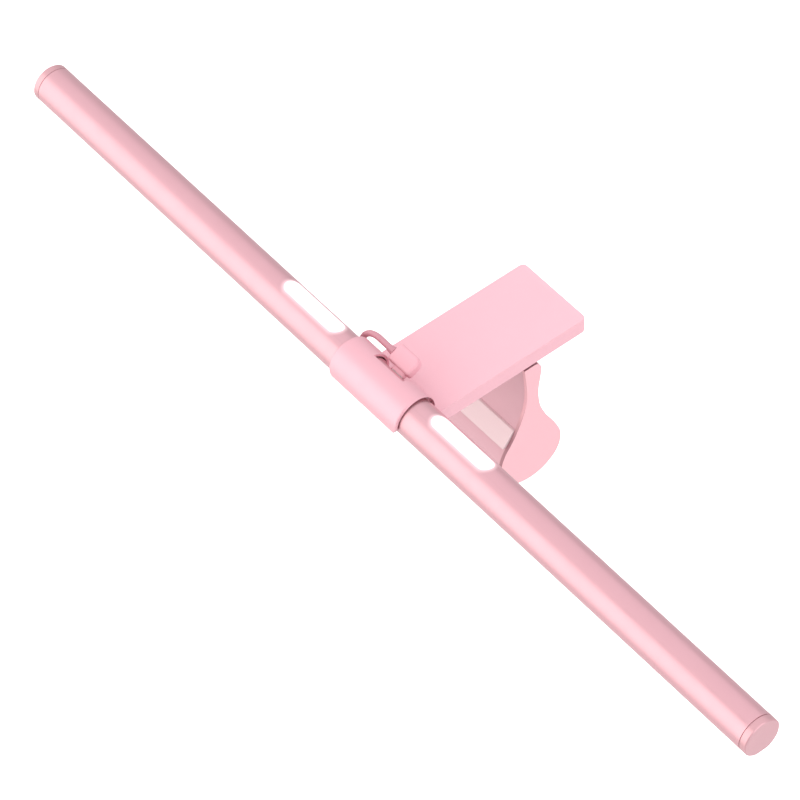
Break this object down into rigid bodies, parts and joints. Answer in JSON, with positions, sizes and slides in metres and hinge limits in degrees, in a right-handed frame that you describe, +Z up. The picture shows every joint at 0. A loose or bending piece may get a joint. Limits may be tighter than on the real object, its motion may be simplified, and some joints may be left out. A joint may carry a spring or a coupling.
{
  "type": "monitor light bar",
  "caption": "Slim round light tube that tilts in the sleeve of a flat clamp plate, with a hanging weighted arm behind, rear light windows and a USB cable.",
  "frame": {"origin": "middle of the seat pad's underside, where the clamp plate rests on the monitor's top edge", "axes": "+X along the light tube, +Y behind the monitor, +Z up"},
  "size_m": [0.5, 0.1115, 0.1054],
  "materials": {
    "shell_pink": "fine satin moulded plastic",
    "tube_pink": "satin pink coating on an aluminium profile",
    "cap_pink": "satin moulded plastic",
    "cable_pink": "soft matt PVC",
    "silicone": "matt silicone",
    "ring_rubber": "matt liner",
    "diffuser": "milky light diffuser",
    "window_light": "milky window lit from behind",
    "board_white": "white solder mask",
    "board_green": "green solder mask",
    "led": "phosphor",
    "component_black": "moulded package",
    "wire_red": "insulated wire",
    "tie_fabric": "hook and loop strap",
    "steel": "plain steel"
  },
  "bodies": {
    "bracket": {"bracket_shell": "shell_pink", "bracket_base_cover": "shell_pink", "bracket_screws": "steel", "seat_pad": "silicone", "lip_pad": "silicone", "friction_ring_left": "ring_rubber", "friction_ring_right": "ring_rubber", "hinge_bracket": "steel", "hinge_bracket_screws": "steel"},
    "arm": {"torsion_spring_left": "steel", "torsion_spring_right": "steel", "hinge_pin": "steel", "arm_back_shell": "shell_pink", "arm_front_panel": "shell_pink", "arm_pad": "silicone", "counterweight": "steel", "arm_screws": "steel"},
    "light_bar": {"tube_housing": "tube_pink", "bottom_diffuser": "diffuser", "led_board": "board_white", "led_chips": "led", "end_cap_left": "cap_pink", "end_cap_right": "cap_pink", "back_window_left": "window_light", "back_window_right": "window_light", "back_led_board_left": "board_white", "back_led_board_right": "board_white", "back_led_chips": "led", "socket_bezel": "cap_pink", "usb_board": "board_green", "usb_c_socket": "steel", "control_board": "board_green", "control_parts": "component_black", "radio_module": "component_black", "wire_harness": "wire_red", "usb_c_plug_shell": "steel", "usb_c_plug_body": "cable_pink", "usb_c_strain_relief": "cable_pink", "usb_cable": "cable_pink", "cable_hank": "cable_pink", "cable_tie": "tie_fabric", "cable_tail": "cable_pink", "usb_a_strain_relief": "cable_pink", "usb_a_plug_body": "cable_pink", "usb_a_plug_shell": "steel"}
  },
  "joints": [
    {"name": "arm_hinge", "type": "hinge", "parent": "bracket", "child": "arm", "pos_m": [0, 0.0206, -0.0055], "axis": [1, 0, 0], "range_deg": [0, 50], "stiffness_Nm_per_rad": 0.1, "springref_deg": -40.11, "deforming": ["torsion_spring_left", "torsion_spring_right"]},
    {"name": "bar_tilt", "type": "hinge", "parent": "bracket", "child": "light_bar", "pos_m": [0, -0.048, 0.017], "axis": [1, 0, 0], "range_deg": [-20, 20]}
  ]
}
